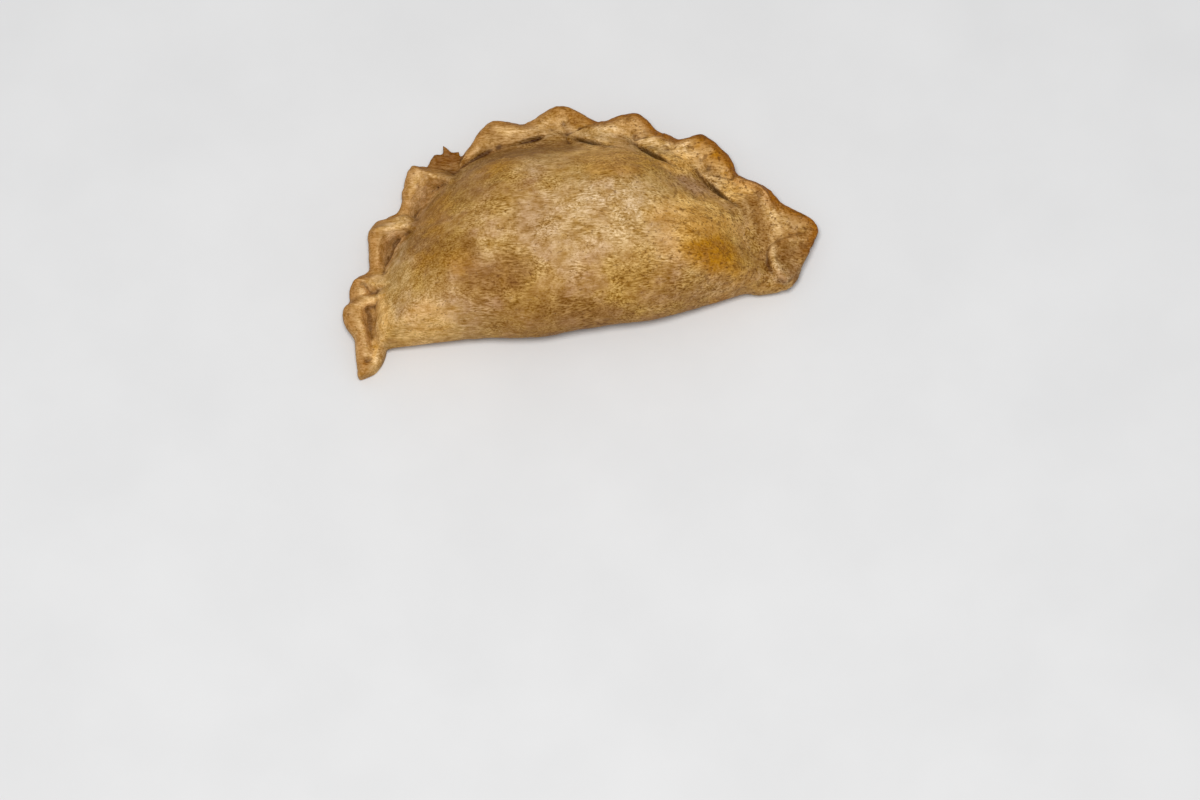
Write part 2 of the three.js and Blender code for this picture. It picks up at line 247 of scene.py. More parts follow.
FLAP_RAISE = 0.6  # how much higher its lip stands beside the body
FLAP_RAISE_END = 57
FLAP_ROLL = 0.9  # its lip is rolled this far above the rest of it
FLAP_ROLL_INSET = 1.3
FLAP_ROLL_WIDTH = 1.35
FLAP_ROLL_END = (56, 61)
FLAP_BLEND = 0.5
FLAP_EDGE = 0.9
FLAP_ROUND = 1.4
TAIL = [
    (-53, -15), (-55, -24.5), (-55.9, -26.6), (-57.6, -28.7),
    (-60.2, -30), (-63.5, -30.5), (-62.2, -19), (-59.8, -8),
]
TAIL_TOP = 4.6
TAIL_ROLL = 0.9  # the tail's outer edge stands up this far
TAIL_ROLL_INSET = 1.4
TAIL_ROLL_WIDTH = 1.0
TAIL_ROUND = 1.2
TAIL_MARGIN = (-0.6, 0.8)  # its crust is like the crimp's within these distances of its outline
DENT = (-60.2, -26.6)  # middle of the dent in the tail
DENT_DEPTH = 0.9
DENT_REACH = (2.8, 1.7)
TAIL_BLEND = 0.8
PLAN_ROUND = 2.6

# Facets
CELL = 0.42  # distance between the points of the grid that the form is worked out on
GRID_LOW = (-68, -34, -0.9)
GRID_HIGH = (65, 41, 30.6)
SMOOTH_ROUNDS = 3
SHRINK = 0.5  # how far each round draws the points together
SWELL = -0.53  # and how far it then pushes them apart again
CUBE = [(i, j, k) for i in (0, 1) for j in (0, 1) for k in (0, 1)]  # the corners of a cell
TINY = 1e-6

# Relief on top of the form: (distance between its lumps, height) for each layer. The crimp is rougher than
# the stretched body.
BODY_RELIEF = [(6.5, 0.16), (2.6, 0.07), (1.2, 0.035)]
RIM_RELIEF = [(4.5, 0.3), (2.0, 0.15), (1.0, 0.08)]
WRINKLES = [(2.4, 0.3), (1.3, 0.12)]  # and its left-hand pleats are wrinkled across
WRINKLE_LENGTH = 4  # each wrinkle is this many times as long as wide
FLAT_BELOW = 0.6  # relief fades out below this height, so the base stays flat
LEVEL_BELOW = 0.05  # and what lies lower than this is levelled
CRIMP_RADII = (49, 52.5)  # the crimp's own crust starts between these radii
CRIMP_PLACES = (-25, -10)  # and these places
CRIMP_FRONT = (2, 6)  # and these distances from the fold
LATTICE = 32  # the noise repeats after this many lumps
BODY_SEED = 1
RIM_SEED = 5
WRINKLE_SEED = 9
WARP_SEEDS = (31, 35)

# Where painted shade and painted highlights follow the form, where the crust is toasted, and where its grain
# changes
FINE_ROUNDS = 8  # rounds of smoothing that take creases and lips away
BROAD_ROUNDS = 60  # and rounds that take hollows away
CREASE_SHADE_DEPTH = (0.1, 0.3)  # painted shade in creases sets in between these depths
LEFT_CREASE_SHADE = 0.6  # painted shade in the creases of the left-hand pleats is fainter
LIP_HIGHLIGHT_HEIGHT = (0.07, 0.25)  # a painted highlight on lips sets in between these heights
LEFT_LIP_HIGHLIGHT = 0.75  # and is fainter on those of the left-hand pleats
HOLLOW_SHADE_DEPTH = (0.15, 1.1)  # painted shade in hollows sets in between these depths
CUP_SHADE = 0.6  # how dark the painted shade in the cups of the left-hand pleats is
CUP_FROM = (49, 51)  # beyond these radii
CUP_FACING = (0, 0.35)  # and off the body's own slope, which faces outwards
SCRAP_SHADE = 0.7  # how dark the painted shade on the torn scrap is
SCRAP_MARGIN = 0.6  # and how far round it that reaches
SLIT_DEPTH = (0.3, 8)  # a slit's painted shade fades out over these depths below its sloping side
SLIT_REACH = (0, 3)  # and over these distances from the pleat's side
# How dark the painted shade in a slit is
SLIT_SHADE = 0.45
FLAP_SHADE = 0.7  # how dark the painted shade on the flap's face is beside its lip
FLAP_SHADE_RUN = (2.2, 3.6)  # from these distances in from it
FLAP_PALER = 0.2  # and how dark it is further in
FLAP_FADE = (4.5, 8)  # from these distances
FLAP_LIP_HIGHLIGHT = 0.85  # how strong the painted highlight along the flap's lip is
FLAP_HIGHLIGHT_RUN = (-23.5, -19)  # from its front end, at these y
TOASTED_BAND = (0.8, 4.6)  # the pleats are toasted within these distances of the outline
TOASTED_RUN = (85, 128)  # more and more over these places
LEFT_TOASTED = 0.65
AWAY_SIDE = np.array([0.8, 0.6, 0])  # painted shade falls on the crimp's slopes that face this way, away from the light
AWAY_SIDE_TILT = (-0.05, 0.45)
LEFT_AWAY_SIDE_SHADE = 0.6  # and less so on the left-hand pleats
AWAY_SIDE_FROM = (53, 56)  # and only on their outer parts, beyond these radii
FRONT_BAND = (5, 13)  # the fold's underside is browned, and darkened by painted shade, below these heights
FRONT_BAND_X = -2
FRONT_BAND_REACH = 34
CALM_CRIMP = 0.7  # the crimp's grain is fainter by this much
CALM_RUN = (60, 95)  # up to these places
CALM_RIGHT = 0.5  # and by this much beyond them
CALM_LEFT = 0.55  # the body's grain is fainter by this much at its left-hand end
CALM_LEFT_RUN = (12, 40)  # which it nears over these distances left of the plan's origin
FRECKLED_RUN = (2, 34)  # and over these distances right of it the dough grows freckled

# Patches as (x, y, reach along x, reach along y, strength): where the body baked paler, where leaves of the
# crimp carry a painted highlight, where the crust is golden or warm, and where it is brown, partly as painted
# shade
PALE_PATCHES = [
    (2, -6.5, 27, 14, 0.5), (2, -1, 9, 6, 0.7), (12, -5, 7, 8, 0.8),
    (-24, -9, 8, 5, 0.3), (19, -16, 5, 6, 0.3), (-42, -21, 11, 8, 0.3),
    (-51, -17, 5, 6, 0.3), (-33, -25, 7, 4, 0.3), (8, -16, 5, 5, 0.4),
    (-4, 13, 11, 5, 0.35), (8, 13.5, 9, 4, 0.5), (-46.5, 0, 3.5, 7, 0.65),
    (-49, -9, 3, 5, 0.3), (30, -24, 9, 4, 0.25), (51, -22, 7, 4, 0.2),
    (-60, -22, 4, 5, 0.2),
]
# Where leaves of the crimp get a painted highlight
LEAF_HIGHLIGHT_PATCHES = [
    (9.5, 26, 6, 3, 0.9), (26.5, 18.5, 4.5, 3.5, 0.6), (56, -8, 4, 3, 0.25),
    (-42, 18.5, 3, 4, 0.85), (-50, 10, 3, 3, 0.9), (27, 20.5, 4, 3, 0.9),
    (22, 22, 4, 3, 0.35), (28.5, 12, 4, 3, 0.75), (32, 16.5, 3.5, 3, 0.5),
]
# Brown of the bake, and painted shade in valleys, under lobes and on the flap
BROWN_AND_SHADE_PATCHES = [
    (-39.5, -3, 6, 12, 0.7), (-29, 11, 11, 7, 0.5), (-12, 22, 20, 5, 0.85),
    (8, 18, 16, 4, 0.15), (22, -28, 12, 2.4, 0.4), (-6, -28, 22, 3, 0.85),
    (47.6, -9.5, 2.8, 8, 0.9), (53, -17, 3.4, 4.5, 0.95), (45.5, -2, 3, 4, 0.85),
    (47, -17, 3, 6, 0.5), (61, -9, 2, 2, 0.4), (-25, -17, 10.5, 5.5, 1.0),
    (-36, -12, 5, 4, 0.5), (-31, 24, 5, 5, 1.0), (-60, -26.4, 3.2, 2, 0.3),
    (-61, -29.6, 3.5, 1.6, 0.15), (-60.5, -6, 3, 3, 0.45), (-62.8, -12.5, 2.5, 4, 0.25),
    (-53, 6, 2.5, 3, 0.4), (7, 31.5, 4, 2.5, 0.85), (1, -9, 5, 4, 0.2),
    (-39, 23, 3, 2.5, 0.25), (-14, -3.5, 6, 5, 0.3), (-32, -8, 5.5, 6, 0.85),
    (-21, 6, 6, 5, 0.3), (-39, -15, 5, 6, 0.4), (-20, -24.5, 11, 4, 0.6),
    (12, -23, 8, 2.5, 0.4), (-14, 27.5, 10, 3.5, 0.7), (-19, 17, 5, 4, 0.3),
]
GOLDEN_PATCHES = [
    (32, -19.5, 9, 6, 1.0), (29, -11.5, 9, 5, 0.5), (-42, -6, 4, 3, 0.4),
    (-34.5, -11, 5, 4, 0.3), (-38.5, 1.5, 4, 3.5, 0.4), (-35, 7, 4, 4.5, 0.45),
    (-18, 15, 8, 4, 0.55), (14, 12, 18, 5, 0.55), (35.5, 20, 4, 4, 1.0),
    (41.5, 14, 4, 5, 1.0), (4, 33, 5, 3, 0.4), (19, 28, 4, 3, 0.3),
]
WARM_PATCHES = [
    (31, -8, 11, 6.5, 0.75), (24, -16, 6, 5, 0.35), (10, 16, 10, 8, 0.5),
    (28.5, 12, 5, 4, 0.7), (42, 3.5, 4, 4, 0.6), (-55, -17, 3.5, 7, 0.45),
    (-46, -25, 9, 4, 0.35),
]
PATCH_EDGE = (0.35, 1.45)  # a patch fades out between these shares of its reach
PATCH_WARPS = [(6.5, 3.0), (1.8, 1.0)]  # its edges wander: (distance between the turns, how far)


def smoothstep(value, low, high):
    t = np.clip((value - low) / (high - low), 0, 1)
    return t * t * (3 - 2 * t)


def lerp(low, high, t):
    return low + (high - low) * t


def bell(value, middle, spread):
    return np.exp(-(((value - middle) / spread) ** 2))


def smooth_union(a, b, blend):
    overlap = np.maximum(blend - np.abs(a - b), 0) / blend
    return np.minimum(a, b) - overlap * overlap * blend / 4


def smooth_cut(a, b, blend):
    return -smooth_union(-a, -b, blend)


def slab(outline, z, under, top, top_round=EDGE_ROUND):
    """A piece of dough of that outline, between its underside and its top."""
    return smooth_cut(smooth_cut(outline, z - top, top_round), under - z, EDGE_ROUND)


def outside_polygon(x, y, corners, rounding=PLAN_ROUND, closed=True):
    """Distance outside a convex plan outline whose corners run clockwise."""
    outside = None
    ends = corners[1:] + corners[:1] if closed else corners[1:]
    for (ax, ay), (bx, by) in zip(corners, ends):
        length = math.hypot(bx - ax, by - ay)
        beyond = ((ax - x) * (by - ay) + (y - ay) * (bx - ax)) / length
        outside = beyond if outside is None else smooth_cut(outside, beyond, rounding)
    return outside


def fold_line(x):
    drawn = FOLD_DRAW * smoothstep(x, *FOLD_DRAW_RUN) + FOLD_TUCK * bell(x, FOLD_TUCK_X, FOLD_TUCK_SPREAD)
    return FOLD_Y + FOLD_BOW * ((x - FOLD_X) / FOLD_REACH) ** 2 + drawn


def inwards(front, back, ease):
    """How far in a point lies from the fold and the crimp together, and how fast that grows."""
    far = np.abs(back)
    eased = back * far / (far + ease)
    eased_growth = np.maximum(far * (far + 2 * ease) / (far + ease) ** 2, LEAST_GROWTH)
    front_in = np.maximum(front, TINY)
    eased_in = np.maximum(eased, TINY)
    shared = (front_in**-CROWN_POWER + eased_in**-CROWN_POWER) ** (-1 / CROWN_POWER)
    nearer = np.minimum(front, eased)
    growth = lerp(1, eased_growth, smoothstep(front - eased, *SHARE_RUN))
    return np.where(nearer > 0, shared, nearer), growth


def lumps(x, y):
    u = x / LUMP_LENGTH[0]
    v = y / LUMP_LENGTH[1]
    askew = LUMP_SECOND_TURNS[0] * u + LUMP_SECOND_TURNS[1] * v
    return np.sin(u + LUMP_PHASE[0]) * np.cos(v + LUMP_PHASE[1]) + LUMP_SECOND * np.sin(askew)


def rim_outline(place):
    """Outline of the crimp: a smooth wave through each notch and crest."""
    edge = np.full_like(place, OUTLINE[0][1])
    for (start, start_radius), (end, end_radius) in zip(OUTLINE, OUTLINE[1:]):
        edge = np.where(place >= start, lerp(start_radius, end_radius, smoothstep(place, start, end)), edge)
    return edge


def pleat_top(place, radius, edge):
    """Height of the crimp's top, as pleats step up at their lips and fall, and how deep in a cup it is."""
    out = np.clip((radius - RIM_INNER) / (RIM_OUTER - RIM_INNER), 0, 1)
    top = np.zeros_like(place)
    sunk = np.zeros_like(place)
    for start, lip_ends, hollow_radii, wall, lift, back in CUPPED:
        lip = lerp(*lip_ends, out)
        stepped = smoothstep(place, lip - LIP_WIDTH, lip + LIP_WIDTH)
        behind = lift * stepped * (1 - smoothstep(place, lip, lip + back))
        along = smoothstep(place, start, lip)
        wall_foot = lerp(*hollow_radii, along)
        in_wall = smoothstep(radius, wall_foot, wall_foot + WALL_RUN)
        sinking = smoothstep(place, start, start + GUTTER_START) * (1 - stepped)
        sunk = np.maximum(sunk, GUTTER * (1 - in_wall) * sinking)
        before = wall * in_wall * along * (place < lip + LIP_WIDTH)
        top = np.maximum(top, np.maximum(behind, before))
    for tip, notch, crest, merge, _, lift in SHINGLED:
        lip = lerp(tip, notch, np.clip((radius - RIM_INNER) / (SHINGLE_OUTER - RIM_INNER), 0, 1))
        ridge = np.maximum(lerp(merge, crest, out), lip + RIDGE_BEHIND)
        stepped = smoothstep(place, lip - LIP_WIDTH, lip + LIP_WIDTH)
        rise = lerp(LIP_SHARE, 1, smoothstep(place, lip, ridge))
        fall = lerp(1, KEPT, smoothstep(place, ridge, ridge + FALL))
        top = np.maximum(top, lift * stepped * rise * fall)
    roll = ROLL * bell(radius, edge - ROLL_INSET, ROLL_WIDTH)
    roll += CURL * bell(place, CURL_PLACE, CURL_SPREAD) * bell(radius, edge - CURL_INSET, CURL_WIDTH)
    climb = CLIMB * smoothstep(CLIMB_START - radius, 0, CLIMB_RUN) * smoothstep(place, *RIGHT_RUN)
    return RIM_LOW - sunk + top * lerp(INNER_SHARE, 1, out) + climb + roll, sunk / GUTTER


def open_edge(place):
    """How free the crimp stands of the body at a place, and the radius of its inner edge there."""
    free = np.zeros_like(place)
    inner = np.full_like(place, RIM_MERGED)
    for start, (lip, _), radii, *_ in CUPPED:
        opened = smoothstep(place, start, start + EDGE_EASE)
        is_open = opened * (1 - smoothstep(place, lip - EDGE_SHARP, lip + EDGE_SHARP))
        free = np.maximum(free, is_open)
        inner = np.maximum(inner, lerp(RIM_MERGED, lerp(*radii, smoothstep(place, start, lip)), is_open))
    for tip, _, _, merge, radii, _ in SHINGLED:
        opened = smoothstep(place, tip - 2 * EDGE_SHARP, tip + EDGE_SHARP)
        is_open = opened * (1 - smoothstep(place, merge - SLIT_FADE, merge))
        free = np.maximum(free, is_open)
        along = np.clip((place - tip) / (merge - tip), 0, 1)
        inner = np.maximum(inner, lerp(RIM_MERGED, lerp(*radii, along), is_open))
    return free, inner


def crease_shape(x, y):
    """Distance from the nearest crease towards the pleat, and the height of its floor and sloping side."""
    beyond = np.zeros_like(x)
    floor = np.full_like(x, np.inf)
    for (ax, ay), (bx, by), floors in CREASES:
        length = math.hypot(bx - ax, by - ay)
        along = ((x - ax) * (bx - ax) + (y - ay) * (by - ay)) / length**2
        to_body = ((x - ax) * (by - ay) - (y - ay) * (bx - ax)) / length
        open_share = np.minimum(along / CREASE_DEEPEST, (1 - along) / (1 - CREASE_DEEPEST))
        past_ends = np.maximum(-open_share, 0) * length
        closing = CREASE_CLOSE * (1 - smoothstep(open_share, 0, CREASE_FULL)) + past_ends
        sloping = lerp(*floors, np.clip(along, 0, 1)) + closing + CREASE_SLOPE * np.maximum(to_body, 0)
        near = (sloping < floor) & (to_body > -2 * CREASE_LEAN)
        beyond = np.where(near, -to_body - CREASE_LEAN, beyond)
        floor = np.where(near, sloping, floor)
    return beyond, floor


class Plan:
    """Everything about the form that depends on the place in plan alone."""

    def __init__(self, x, y):
        self.radius = np.hypot(x - RIM_CENTRE[0], y - RIM_CENTRE[1])
        self.place = np.degrees(np.arctan2(y - RIM_CENTRE[1], RIM_CENTRE[0] - x))
        self.front = y - fold_line(x)
        self.edge = rim_outline(self.place)
        self.set_body(x, y)
        self.set_crimp()
        self.set_corner(x, y)
        self.set_tail(x, y)
        self.crease_beyond, self.crease_floor = crease_shape(x, y)
        self.scrap = outside_polygon(x, y, SCRAP, SPLINTER_ROUND)
        self.splinter = outside_polygon(x, y, SPLINTER, SPLINTER_ROUND)

    def set_body(self, x, y):
        sideways = np.clip((x - RIM_CENTRE[0]) / FOOT_RADIUS, -1, 1)
        left = sideways < 0
        ease = lerp(BACK_EASE, np.where(left, LEFT_EASE, RIGHT_EASE), sideways**2)
        foot = np.where(left, lerp(FOOT_RADIUS, LEFT_FOOT, sideways**LEFT_FOOT_POWER), FOOT_RADIUS)
        foot = foot + FOOT_BULGE * bell(self.place, FOOT_BULGE_PLACE, FOOT_BULGE_SPREAD)
        foot = foot + RIGHT_BULGE * smoothstep(self.place, *RIGHT_BULGE_RUN)
        to_corner = smoothstep(self.place, *END_BULGE_RUN) * (1 - smoothstep(self.place, *END_BULGE_FADE))
        foot = foot + END_BULGE * to_corner
        self.back = foot - self.radius
        fold_middle = lerp(FOLD_HEIGHT, SEAM_HEIGHT, sideways**2)
        self.middle = lerp(fold_middle, SEAM_HEIGHT, smoothstep(self.front, 0, SEAM_RUN))
        self.inward, self.growth = inwards(self.front, self.back, ease)
        self.lump = LUMP * lumps(x, y) * smoothstep(self.back, 0, LUMP_INSET)

    def set_crimp(self):
        self.sheet = np.maximum(self.radius - self.edge + SHEET_EDGE, SHEET_INSET - self.front)
        self.sheet_top = lerp(LEFT_SHEET_TOP, SHEET_TOP, smoothstep(self.place, *SHEET_RUN))
        self.sheet_top = self.sheet_top + SHEET_FILL * bell(self.place, SHEET_FILL_PLACE, SHEET_FILL_SPREAD)
        free, inner = open_edge(self.place)
        merged = lerp(MERGE_BLEND, RIGHT_BLEND, smoothstep(self.place, *RIGHT_RUN))
        merged = lerp(merged, CORNER_JOIN, smoothstep(self.place, *CORNER_JOIN_PLACES))
        merged = lerp(merged, CORNER_JOIN, smoothstep(self.radius, *CORNER_JOIN_RADII))
        self.rim_blend = lerp(merged, OPEN_BLEND, free)
        past_ends = np.maximum(RIM_START - self.place, self.place - RIM_END)
        beyond_ends = past_ends * math.radians(1) * self.radius
        self.ring = np.maximum(np.maximum(inner - self.radius, self.radius - self.edge), beyond_ends)
        self.under = UNDERCUT * smoothstep(self.radius, *UNDERCUT_RUN) - SINK
        self.pleat_top, self.cup = pleat_top(self.place, self.radius, self.edge)

    def set_corner(self, x, y):
        self.corner = outside_polygon(x, y, CORNER, CORNER_ROUND)
        self.flap = outside_polygon(x, y, FLAP, FLAP_ROUND)
        self.trim = outside_polygon(x, y, TRIM, closed=False)
        raised = FLAP_RAISE * (1 - smoothstep(x, FLAP_LIP, FLAP_RAISE_END))
        self.flap_lip = -outside_polygon(x, y, FLAP[:-1], FLAP_ROUND, closed=False)
        rolled = FLAP_ROLL * bell(self.flap_lip, FLAP_ROLL_INSET, FLAP_ROLL_WIDTH)
        rolled = rolled * (1 - smoothstep(x, *FLAP_ROLL_END))
        self.flap_top = FLAP_TOP + raised + rolled - FLAP_FALL * (x - FLAP_LIP)
        front_lift = CORNER_LIFT * smoothstep(-y, *CORNER_LIFT_RUN)
        end_lift = CORNER_RISE * smoothstep(x, *CORNER_RISE_RUN)
        self.corner_under = CORNER_UNDER + np.maximum(front_lift, end_lift)
        droop = CORNER_DROOP * smoothstep(-y, *CORNER_DROOP_RUN)
        self.corner_top = CORNER_TOP - CORNER_FALL * (x - FLAP_LIP) - droop

    def set_tail(self, x, y):
        self.tail = outside_polygon(x, y, TAIL, TAIL_ROUND)
        roll = TAIL_ROLL * bell(self.tail, -TAIL_ROLL_INSET, TAIL_ROLL_WIDTH)
        from_dent = np.hypot((x - DENT[0]) / DENT_REACH[0], (y - DENT[1]) / DENT_REACH[1])
        self.tail_top = TAIL_TOP + roll - DENT_DEPTH * bell(from_dent, 0, 1)


def body(plan, z):
    upper = z > plan.middle
    inward = np.where(upper, plan.inward, plan.front)
    growth = np.where(upper, plan.growth, 1)
    rise = np.where(upper, BODY_HEIGHT - plan.middle, plan.middle + SINK)
    across = np.maximum(HALF_WIDTH - inward, 0)
    reach = np.hypot(across / HALF_WIDTH, (z - plan.middle) / rise)
    across_slope = across / HALF_WIDTH**2 * growth
    up_slope = (z - plan.middle) / rise**2
    oval = reach * (reach - 1) / np.maximum(np.hypot(across_slope, up_slope), TINY)
    return np.where(upper, oval, np.maximum(oval, -plan.back)) - plan.lump


def empanada(plan, height):
    """The whole empanada at one height, negative inside. Below the base its outline runs straight down."""
    z = max(height, 0)
    filled = smooth_union(body(plan, z), smooth_cut(plan.sheet, z - plan.sheet_top, SHEET_BLEND), SHEET_BLEND)
    corner = slab(plan.corner, z, plan.corner_under, plan.corner_top)
    cornered = smooth_union(filled, corner, CORNER_BLEND)
    crimp = slab(plan.ring, z, plan.under, plan.pleat_top)
    crimped = smooth_union(cornered, crimp, plan.rim_blend)
    crease = np.maximum(plan.crease_beyond, (plan.crease_floor - z) / math.hypot(1, CREASE_SLOPE))
    crimped = smooth_cut(crimped, -crease, CREASE_ROUND)
    flap = slab(plan.flap, z, plan.corner_under, plan.flap_top, FLAP_EDGE)
    flapped = smooth_cut(smooth_union(crimped, flap, FLAP_BLEND), plan.trim, TRIM_ROUND)
    tail = slab(plan.tail, z, CORNER_UNDER, plan.tail_top)
    tailed = smooth_union(flapped, tail, TAIL_BLEND)
    scrap = np.maximum(smooth_cut(plan.scrap, z - SCRAP_TOP, SPLINTER_ROUND), SCRAP_UNDER - z)
    splinter = np.maximum(smooth_cut(plan.splinter, z - SPLINTER_TOP, SPLINTER_ROUND), SCRAP_UNDER - z)
    torn = smooth_union(scrap, splinter, SPLINTER_ROUND)
    return np.maximum(smooth_union(tailed, torn, OPEN_BLEND), -height)


def surface_nets(values):
    """Points in cells, and quads, of the surface where the values on the grid change sign."""
    inside = values < 0
    cells = tuple(n - 1 for n in values.shape)
    count = sum(inside[i:i + cells[0], j:j + cells[1], k:k + cells[2]].astype(np.int8) for i, j, k in CUBE)
    cut = np.argwhere((count > 0) & (count < len(CUBE)))
    corner = {s: values[cut[:, 0] + s[0], cut[:, 1] + s[1], cut[:, 2] + s[2]] for s in CUBE}
    total = np.zeros((len(cut), 3))
    crossings = np.zeros(len(cut))
    for start in CUBE:
        for axis in range(3):
            if start[axis]:
                continue
            end = tuple(1 if n == axis else s for n, s in enumerate(start))
            a, b = corner[start], corner[end]
            crosses = (a < 0) != (b < 0)
            at = np.tile(np.array(start, float), (len(cut), 1))
            at[:, axis] = a / np.where(crosses, a - b, 1)
            total[crosses] += at[crosses]
            crossings += crosses
    points = cut + total / crossings[:, None]
    number = np.full(cells, -1, np.int32)
    number[tuple(cut.T)] = np.arange(len(cut))
    quads = []
    for axis in range(3):
        ahead = np.roll(inside, -1, axis)
        changes = inside != ahead
        for n in range(3):
            edge_slice = [slice(None)] * 3
            edge_slice[n] = slice(-1, None)
            changes[tuple(edge_slice)] = False
            if n != axis:
                edge_slice[n] = slice(0, 1)
                changes[tuple(edge_slice)] = False
        here = np.argwhere(changes)
        u = np.eye(3, dtype=int)[(axis + 1) % 3]
        v = np.eye(3, dtype=int)[(axis + 2) % 3]
        ring = [number[tuple((here - back).T)] for back in (u + v, v, 0 * u, u)]
        quad = np.stack(ring, 1)
        outward = inside[tuple(here.T)]
        quad[~outward] = quad[~outward][:, ::-1]
        quads.append(quad)
    return points, np.concatenate(quads)


def neighbour_average(quads, count):
    """A function that averages a value of each vertex over the vertices next to it."""
    a = np.concatenate([quads.ravel(), np.roll(quads, -1, 1).ravel()])
    b = np.concatenate([np.roll(quads, -1, 1).ravel(), quads.ravel()])
    degree = np.bincount(a, minlength=count)

    def average(values):
        sums = [np.bincount(a, values[b, n], count) for n in range(values.shape[1])]
        return np.stack(sums, 1) / degree[:, None]

    return average


def vertex_normals(points, quads):
    corners = points[quads]
    face = np.cross(corners[:, 2] - corners[:, 0], corners[:, 3] - corners[:, 1])
    sums = [np.bincount(quads.ravel(), np.repeat(face[:, n], 4), len(points)) for n in range(3)]
    normal = np.stack(sums, 1)
    return normal / np.maximum(np.linalg.norm(normal, axis=1, keepdims=True), TINY)


def noise(points, size, seed):
    """Smooth noise between about -1 and 1, with its lumps that size apart."""
    lattice = np.random.default_rng(SEED + seed).uniform(-1, 1, (LATTICE, LATTICE, LATTICE))
    at = points / size
    low = np.floor(at).astype(int)
    t = at - low
    t = t * t * t * (t * (t * 6 - 15) + 10)
    value = np.zeros(len(points))
    for step in CUBE:
        x, y, z = ((low + step) % LATTICE).T
        weight_x, weight_y, weight_z = np.where(step, t, 1 - t).T
        value += lattice[x, y, z] * (weight_x * weight_y) * weight_z
    return value


def layered(points, layers, seed):
    return sum(height * noise(points, size, seed + n) for n, (size, height) in enumerate(layers))


def patches(points, table):
    """How strongly the patches of a table colour each point."""
    warp_x = layered(points, PATCH_WARPS, WARP_SEEDS[0])
    warp_y = layered(points, PATCH_WARPS, WARP_SEEDS[1])
    strength = np.zeros(len(points))
    for x, y, reach_x, reach_y, amount in table:
        off = np.hypot((points[:, 0] + warp_x - x) / reach_x, (points[:, 1] + warp_y - y) / reach_y)
        strength = np.maximum(strength, amount * (1 - smoothstep(off, *PATCH_EDGE)))
    return strength


def make_surface():
    """The smooth form: its points in plan millimetres, its quads, and an average over neighbours."""
    axes = [np.arange(low, high + CELL, CELL) for low, high in zip(GRID_LOW, GRID_HIGH)]
    plan = Plan(*np.meshgrid(axes[0], axes[1], indexing="ij"))
    values = np.stack([empanada(plan, height) for height in axes[2]], 2)
    points, quads = surface_nets(values)
    points = points * CELL + np.array([axis[0] for axis in axes])
    average = neighbour_average(quads, len(points))
    for _ in range(SMOOTH_ROUNDS):
        points = lerp(points, average(points), SHRINK)
        points = lerp(points, average(points), SWELL)
    return points, quads, average


def crimp_share(here):
    """How far a place belongs to the crimp or to the tail, whose crust is alike."""
    rim = smoothstep(here.radius, *CRIMP_RADII) * smoothstep(here.place, *CRIMP_PLACES)
    rim = rim * smoothstep(here.front, *CRIMP_FRONT)
    on_tail = 1 - smoothstep(here.tail, *TAIL_MARGIN)
    return np.maximum(rim, on_tail)


def roughened(points, quads, here, rim, past_cups):
    """The points with the dough's relief."""
    relief = lerp(layered(points, BODY_RELIEF, BODY_SEED), layered(points, RIM_RELIEF, RIM_SEED), rim)
    along_rim = np.radians(here.place) * here.radius
    across_rim = [here.radius / WRINKLE_LENGTH, points[:, 2] / WRINKLE_LENGTH]
    relief += layered(np.stack([along_rim, *across_rim], 1), WRINKLES, WRINKLE_SEED) * rim * (1 - past_cups)
    relief *= smoothstep(points[:, 2], LEVEL_BELOW, FLAT_BELOW)
    points = points + vertex_normals(points, quads) * relief[:, None]
    points[:, 2] = np.where(points[:, 2] < LEVEL_BELOW, 0, points[:, 2])
    return points


def sunken(points, normal, average):
    """How deep each point lies below the same surface smoothed a little, and smoothed a lot."""
    smooth = points
    for _ in range(FINE_ROUNDS):
        smooth = average(smooth)
    fine = np.sum((smooth - points) * normal, 1)
    for _ in range(BROAD_ROUNDS - FINE_ROUNDS):
        smooth = average(smooth)
    return fine, np.sum((smooth - points) * normal, 1)


def painted_crease_shade(points, here, fine, past_cups):
    """Painted shade in the creases of the form, and in the slits beside the right-hand pleats."""
    creased = smoothstep(fine, *CREASE_SHADE_DEPTH) * lerp(LEFT_CREASE_SHADE, 1, past_cups)
    near_slit = 1 - smoothstep(here.crease_floor - points[:, 2], *SLIT_DEPTH)
    near_pleat = 1 - smoothstep(-here.crease_beyond, *SLIT_REACH)
    return np.maximum(creased, near_slit * near_pleat * SLIT_SHADE)


def painted_highlight_mask(points, here, fine, rim, past_cups):
    """Painted highlights on the pleats' lips and leaves, and on the flap's rolled lip."""
    ridge_highlight = smoothstep(-fine, *LIP_HIGHLIGHT_HEIGHT) * rim * lerp(LEFT_LIP_HIGHLIGHT, 1, past_cups)
    flap_lip = FLAP_LIP_HIGHLIGHT * bell(here.flap_lip, FLAP_ROLL_INSET, FLAP_ROLL_WIDTH)
    flap_lip = flap_lip * smoothstep(points[:, 1], *FLAP_HIGHLIGHT_RUN)
    return np.maximum.reduce([ridge_highlight, patches(points, LEAF_HIGHLIGHT_PATCHES), flap_lip])


